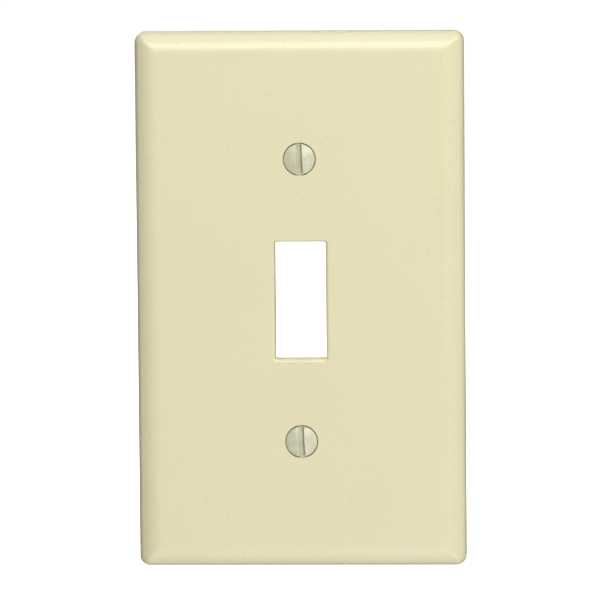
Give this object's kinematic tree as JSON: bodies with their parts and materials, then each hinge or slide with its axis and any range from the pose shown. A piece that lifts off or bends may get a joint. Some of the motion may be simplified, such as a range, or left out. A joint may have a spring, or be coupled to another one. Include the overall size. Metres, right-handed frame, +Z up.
{
  "type": "toggle switch wall plate",
  "caption": "Rectangular wall plate with bevelled edges, a toggle opening, and slotted oval-head screws held captive above and below it.",
  "frame": {"origin": "centre of the plate on the plane of the wall, where the rear rim rests", "axes": "+Z up along the plate's height, +Y from the face into the wall, +X to the right as seen from the front"},
  "size_m": [0.0698, 0.0136, 0.1142],
  "materials": {
    "plate": "glossy ivory thermoset moulding",
    "screw": "ivory paint on the head, bare zinc on the thread",
    "retainer": "translucent natural nylon"
  },
  "bodies": {
    "wall_plate": {"wall_plate": "plate"},
    "upper_retainer": {"upper_screw_retainer": "retainer"},
    "upper_screw": {"upper_screw": "screw"},
    "lower_retainer": {"lower_screw_retainer": "retainer"},
    "lower_screw": {"lower_screw": "screw"}
  },
  "joints": [
    {"name": "upper_screw_turn", "type": "hinge", "parent": "wall_plate", "child": "upper_retainer", "pos_m": [0, 0, 0.03016], "axis": [0, -1, 0], "range_deg": [0, 3330]},
    {"name": "upper_screw_advance", "type": "slide", "parent": "upper_retainer", "child": "upper_screw", "axis": [0, -1, 0], "range_m": [0, 0.00734]},
    {"name": "lower_screw_turn", "type": "hinge", "parent": "wall_plate", "child": "lower_retainer", "pos_m": [0, 0, -0.03016], "axis": [0, -1, 0], "range_deg": [0, 3330]},
    {"name": "lower_screw_advance", "type": "slide", "parent": "lower_retainer", "child": "lower_screw", "axis": [0, -1, 0], "range_m": [0, 0.00734]}
  ],
  "couplings": [
    {"joint": "upper_screw_turn", "follows": "upper_screw_advance", "rad_per_m": 7915.8},
    {"joint": "lower_screw_turn", "follows": "lower_screw_advance", "rad_per_m": 7915.8}
  ]
}
